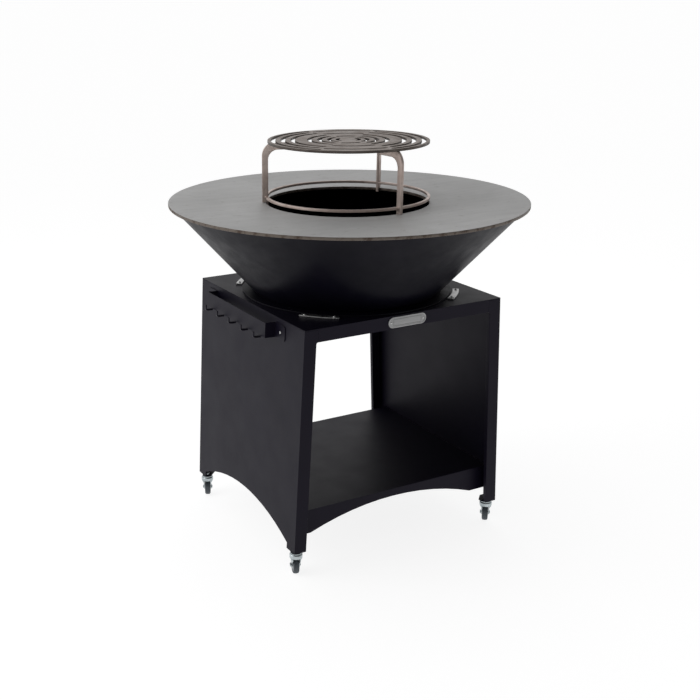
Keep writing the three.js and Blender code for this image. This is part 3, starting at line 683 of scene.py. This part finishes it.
def build_grate():
    low, high = height_of("grate_disc")
    outlines = [arc(0, 0, GRATE_RADIUS, 0, TAU, math.radians(1.5))[:-1]]
    for turn in (0, math.pi):
        for slots, axis in ((LOBE_SLOTS, LOBE_AXIS), (CROSS_SLOTS, LOBE_AXIS + math.pi / 2)):
            for radius, width, half in slots:
                outlines.append(slot_outline(radius * MM, width * MM, math.radians(half), axis + turn))
    disc = cut_plate("grate_plate", outlines, low, high, 0.55 * MM)
    place_piece(disc, "grate", "grate_steel", GRATE, "grate_disc")
    # Faces of the disc that do not face up (slot walls, rim, underside) get the copy of the grate steel with
    # painted shade.
    second_look(disc, GRATE_PAINTED_SHADE, lambda normal: normal.z < 0.6)
    low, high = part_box("grate_ring")
    inner = high.x - RING_WIDTH
    square = [(inner, low.z), (high.x, low.z), (high.x, high.z), (inner, high.z)]
    ring = turned("grate_ring_bar", [tuple(p) for p in rounded(square, 1.2 * MM)], 200, closed=True)
    # The ring gets the lighter copy of the grate steel, which carries painted light.
    place_piece(ring, "grate", "grate_steel", GRATE_LIT_BARS, "grate_ring")
    for name, azimuth in LEGS:
        build_leg(name, math.radians(azimuth), (low.z + high.z) / 2)


def build_leg(name, azimuth, ring_z):
    """A flat bar on edge, bent under the grate; its outline is radius and height."""
    top = height_of("grate_disc")[0] - GAP
    inner = LEG_OUTER - LEG_DEPTH
    centre_z = top + 5 * MM - LEG_BEND
    crest = math.acos((top - centre_z) / LEG_BEND)
    under = top - LEG_DEPTH
    outline = [(inner, LUG_BOTTOM), (LUG_OUTER, LUG_BOTTOM), (LUG_OUTER, LEG_FOOT), (LEG_OUTER, LEG_FOOT)]
    outline += arc(LEG_OUTER - LEG_BEND, centre_z, LEG_BEND, 0, math.pi / 2 - crest)
    outline += [(ARM_END, top), (ARM_END, under)]
    outline += arc(inner - LEG_HOLLOW, under - LEG_HOLLOW, LEG_HOLLOW, math.pi / 2, 0)
    leg = cut_plate("grate_leg_bar_" + name, [outline], -LEG_HALF_WIDTH, LEG_HALF_WIDTH, 0.8 * MM)
    spin = Matrix.Rotation(azimuth, 4, "Z")
    move(leg, spin @ Matrix.Rotation(math.pi / 2, 4, "X"))
    place_piece(leg, "grate", "grate_steel", GRATE_LIT_BARS, "grate_leg_" + name)
    random.seed(name)
    joints = (("ring", 229.4 * MM, ring_z, 3.4 * MM), ("grate", 180 * MM, top, 9 * MM))
    for label, radius, z, reach in joints:
        for side, letter in ((-1, "a"), (1, "b")):
            bead = weld_bead("weld_%s_%s_%s" % (label, name, letter), reach, label == "ring")
            move(bead, spin @ Matrix.Translation((radius, side * LEG_HALF_WIDTH, z)))
            place_piece(bead, "grate", "grate_steel", GRATE_LIT_BARS)


def weld_bead(name, reach, upright):
    """A short uneven fillet of weld along a joint."""
    bm = bmesh.new()
    bmesh.ops.create_icosphere(bm, subdivisions=3, radius=1)
    size = (WELD, WELD, reach) if upright else (reach, WELD, WELD)
    shift = Vector((random.random(), random.random(), random.random())) * 9
    for vertex in bm.verts:
        swell = 1 + 0.28 * noise.noise(vertex.co * 2.2 + shift)
        vertex.co = Vector([value * scale for value, scale in zip(vertex.co, size)]) * swell
    return finish_mesh(name, bm, WELD_ANGLE)


# ---------------------------------------------------------------- guides and screws

GUIDES = (("back_right", 45), ("back_left", 135), ("front_left", 225), ("front_right", 315))
GUIDE_INNER = 302 * MM
GUIDE_OUTER = 319.5 * MM
GUIDE_HALF_ANGLE = math.radians(9.7)
GUIDE_STEP = math.radians(0.6)
GUIDE_SCREW_RADIUS = 311 * MM
GUIDE_SCREW_ANGLE = math.radians(7.4)
SCREW_HEAD = 3.75 * MM
SCREW_HEIGHT = 2.6 * MM
SOCKET_ACROSS = 2.6 * MM
SOCKET_FLOOR = 0.9 * MM
FASTENER_SIDES = 36

SPLAY = 30 / 627            # how far the left panel leans in over a unit of height
PANEL_FOOT_X = -342 * MM
PANEL_FOOT_Z = 70 * MM
RACK_Z = 640.5 * MM
RACK_CENTRE = 24 * MM
RACK_SCREW_REACH = 208 * MM     # from the rack's centre to a screw
RACK_TAB_FACE = 2.3 * MM
RACK_SCREW_Z = 20.75 * MM


def hex_radius(angle, across):
    sector = (angle + math.pi / 6) % (math.pi / 3) - math.pi / 6
    return across / 2 / math.cos(sector)


def screw(name):
    """A button-head screw whose head sits on z = 0, with a hexagon socket."""
    bm = bmesh.new()
    dome = [(SCREW_HEAD, 0.0), (SCREW_HEAD, 0.9 * MM), (SCREW_HEAD * 0.93, 1.5 * MM),
            (SCREW_HEAD * 0.78, 2.1 * MM), (SCREW_HEAD * 0.6, SCREW_HEIGHT * 0.96),
            (SCREW_HEAD * 0.46, SCREW_HEIGHT)]
    rings = [spun_ring(bm, lambda angle: radius, z, FASTENER_SIDES) for radius, z in dome]
    for z in (SCREW_HEIGHT - 0.1 * MM, SOCKET_FLOOR):
        rings.append(spun_ring(bm, lambda angle: hex_radius(angle, SOCKET_ACROSS), z, FASTENER_SIDES))
    skin(bm, rings)
    return finish_mesh(name, bm, SHARP_ANGLE)


def build_guides():
    for name, degrees in GUIDES:
        azimuth = math.radians(degrees)
        low, high = height_of("bowl_guide_" + name)
        start, end = azimuth - GUIDE_HALF_ANGLE, azimuth + GUIDE_HALF_ANGLE
        outline = (arc(0, 0, GUIDE_OUTER, start, end, GUIDE_STEP)
                   + arc(0, 0, GUIDE_INNER, end, start, GUIDE_STEP))
        guide = cut_plate("guide_bar_" + name, [outline], low, high, 0.6 * MM)
        place_piece(guide, "stand", "stainless", STAINLESS, "bowl_guide_" + name)
        for index, side in ((1, -1), (2, 1)):
            angle = azimuth + side * GUIDE_SCREW_ANGLE
            piece = screw("guide_bolt_%s_%d" % (name, index))
            spin = Matrix.Rotation(index * 0.7 + degrees, 4, "Z")
            spot = (GUIDE_SCREW_RADIUS * math.cos(angle), GUIDE_SCREW_RADIUS * math.sin(angle), high)
            move(piece, Matrix.Translation(spot) @ spin)
            place_piece(piece, "stand", "stainless", STAINLESS, "guide_screw_%s_%d" % (name, index))


def rack_matrix():
    """Local X along the rack, Y out of the left panel and Z up it, as the rack is made."""
    tilt = math.atan(SPLAY)
    base_x = PANEL_FOOT_X + (RACK_Z - PANEL_FOOT_Z) * SPLAY
    along = Vector((0, 1, 0))
    out = Vector((-math.cos(tilt), 0, math.sin(tilt)))
    up = Vector((math.sin(tilt), 0, math.cos(tilt)))
    turn = Matrix((along, out, up)).transposed().to_4x4()
    return Matrix.Translation((base_x, 0, RACK_Z)) @ turn


def build_rack_screws():
    frame_of_rack = rack_matrix()
    for name, side in (("front", -1), ("back", 1)):
        piece = screw("rack_bolt_" + name)
        place = (RACK_CENTRE + side * RACK_SCREW_REACH, RACK_TAB_FACE, RACK_SCREW_Z)
        face = Matrix.Translation(place) @ Matrix.Rotation(-math.pi / 2, 4, "X")
        move(piece, frame_of_rack @ face)
        place_piece(piece, "stand", "stainless", STAINLESS, "rack_screw_" + name)


BADGE_THICKNESS = 1.2 * MM
BADGE_RIVET_X = 51 * MM
LINE_LENGTH, LINE_HEIGHT = 88 * MM, 18 * MM
LINE_WIDTH = 0.8 * MM


def pill(length, height):
    half = (length - height) / 2
    quarter = math.pi / 2
    fine = math.radians(6)
    right = arc(half, 0, height / 2, -quarter, quarter, fine)
    left = arc(-half, 0, height / 2, quarter, 3 * quarter, fine)
    return right + left


def box_outline(length, height):
    x, z = length / 2, height / 2
    return [(-x, -z), (x, -z), (x, z), (-x, z)]


def build_badge():
    low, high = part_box("name_plate")
    length, height = high.x - low.x, high.z - low.z
    centre_z = (low.z + high.z) / 2
    thick = BADGE_THICKNESS
    upright = Matrix.Translation((0, high.y, centre_z)) @ Matrix.Rotation(math.pi / 2, 4, "X")
    base = cut_plate("badge_base", [pill(length, height)], 0, thick, 0.25 * MM)
    move(base, upright)
    place_piece(base, "stand", "stainless", SATIN, "name_plate")
    rim_outlines = [pill(length - inset, height - inset) for inset in (1 * MM, 6 * MM)]
    rim = cut_plate("badge_rim", rim_outlines, thick - 0.1 * MM, thick + 0.8 * MM, 0.3 * MM)
    move(rim, upright)
    place_piece(rim, "stand", "stainless", SATIN_RIM)
    line_outlines = [box_outline(LINE_LENGTH - inset, LINE_HEIGHT - inset) for inset in (0, 2 * LINE_WIDTH)]
    line = cut_plate("badge_line", line_outlines, thick - 0.1 * MM, thick + 0.06 * MM, 0.02 * MM)
    move(line, upright)
    place_piece(line, "stand", "stainless", ENGRAVED)
    for side, name in ((-1, "left"), (1, "right")):
        dome = [(0, 1.5 * MM), (1.2 * MM, 1.35 * MM), (2.1 * MM, 0.95 * MM), (2.7 * MM, 0.35 * MM),
                (2.8 * MM, 0), (0, 0)]
        rivet = turned("badge_rivet_" + name, dome, 32)
        move(rivet, upright @ Matrix.Translation((side * BADGE_RIVET_X, 0, thick)))
        place_piece(rivet, "stand", "stainless", STAINLESS, "name_plate_rivet_" + name)


# ---------------------------------------------------------------- casters

WHEEL_RADIUS = 25 * MM
TYRE_HALF_WIDTH = 8.5 * MM
TYRE_INNER = 17.3 * MM
TYRE_SHOULDER = 24.2 * MM
HUB_HALF_WIDTH = 7.5 * MM
HUB_BORE = 3.2 * MM
HUB_RADIUS = 17 * MM
HUB_DISH = 2.2 * MM         # how deep the web lies in the hub's side
AXLE_SEAT = 11.9 * MM       # from the wheel's middle to the underside of a head
KINGPIN_RADIUS = 4.5 * MM
KINGPIN_HEAD_RADIUS = 6.5 * MM
KINGPIN_HEAD_SEAT = 73.6 * MM
RACE_RADIUS = 15.5 * MM
RACE_TOP = 69.7 * MM


def joint(name):
    return next(j for j in frame["joints"] if j["name"] == name)


def build_casters():
    for corner in corners:
        roll = joint("roll_" + corner)
        swivel = joint("swivel_" + corner)
        axle_way = Vector(roll["axis"]).normalized()
        wheel_at = Vector(roll["pos_m"])
        pivot = Vector((swivel["pos_m"][0], swivel["pos_m"][1], 0))
        turn = math.atan2(axle_way.y, axle_way.x)
        heading = Matrix.Rotation(turn, 4, "Z")
        stem = Matrix.Translation(pivot) @ heading
        wheel = Matrix.Translation(wheel_at) @ heading @ Matrix.Rotation(math.pi / 2, 4, "Y")
        build_race(corner, stem)
        build_fork(corner)
        build_axle(corner, wheel)
        build_wheel(corner, wheel)


def build_race(corner, stem):
    low, high = height_of("caster_race_" + corner)
    bevel = 1 * MM
    cup = [(0, low), (RACE_RADIUS - bevel, low), (RACE_RADIUS, low + bevel), (RACE_RADIUS, RACE_TOP),
           (KINGPIN_RADIUS, RACE_TOP), (KINGPIN_RADIUS, KINGPIN_HEAD_SEAT)]
    profile = rounded(cup, 0.5 * MM, closed=False)
    head = rounded([(KINGPIN_HEAD_RADIUS, KINGPIN_HEAD_SEAT), (KINGPIN_HEAD_RADIUS, high), (0, high)],
                   1.2 * MM, closed=False)
    race = turned("caster_cup_" + corner, [tuple(p) for p in profile + head], 64)
    move(race, stem)
    place_piece(race, "stand", "zinc", ZINC, "caster_race_" + corner)


def build_fork(corner):
    fork = softened("caster_fork_" + corner, "caster_yoke_" + corner, 0.55 * MM)
    place_piece(fork, "fork_" + corner, "zinc", ZINC, "caster_fork_" + corner)


def build_axle(corner, wheel):
    """Hexagon bolt head on one side and a lock nut on the other."""
    bm = bmesh.new()

    def hexagon(across, z):
        return spun_ring(bm, lambda angle: hex_radius(angle, across), z, FASTENER_SIDES)

    def disc(diameter, z):
        return spun_ring(bm, lambda angle: diameter / 2, z, FASTENER_SIDES)

    skin(bm, [hexagon(9.0 * MM, -AXLE_SEAT - 2.8 * MM), hexagon(9.6 * MM, -AXLE_SEAT),
              disc(5.8 * MM, -AXLE_SEAT), disc(5.8 * MM, AXLE_SEAT), hexagon(9.6 * MM, AXLE_SEAT),
              hexagon(9.4 * MM, AXLE_SEAT + 2.0 * MM), disc(7.2 * MM, AXLE_SEAT + 2.8 * MM)])
    axle = finish_mesh("caster_bolt_" + corner, bm, SHARP_ANGLE)
    move(axle, wheel)
    place_piece(axle, "fork_" + corner, "zinc", ZINC, "caster_axle_" + corner)


def build_wheel(corner, wheel):
    half = TYRE_HALF_WIDTH
    side_half = [(TYRE_INNER, half - 1 * MM), (21 * MM, half), (TYRE_SHOULDER, half - 2.4 * MM)]
    tread = rounded([(r, -x) for r, x in side_half] + [(WHEEL_RADIUS, 0)] + side_half[::-1], 2.2 * MM)
    tyre = turned("wheel_tyre_" + corner, [tuple(p) for p in tread], 96, closed=True)
    move(tyre, wheel)
    place_piece(tyre, "wheel_" + corner, "tyre_rubber", TYRE, "caster_tyre_" + corner)
    side = HUB_HALF_WIDTH
    web = side - HUB_DISH
    boss = side + 0.5 * MM
    hub_half = [(HUB_BORE, boss), (7 * MM, boss), (8 * MM, web), (15 * MM, web), (16 * MM, side),
                (HUB_RADIUS, side)]
    face = [(r, -x) for r, x in hub_half] + hub_half[::-1]
    hub = turned("wheel_hub_" + corner, [tuple(p) for p in rounded(face, 0.5 * MM)], 72, closed=True)
    move(hub, wheel)
    place_piece(hub, "wheel_" + corner, "hub_plastic", HUB, "caster_hub_" + corner)


build_stand()
build_bowl()
build_griddle()
build_grate()
build_guides()
build_rack_screws()
build_badge()
build_casters()
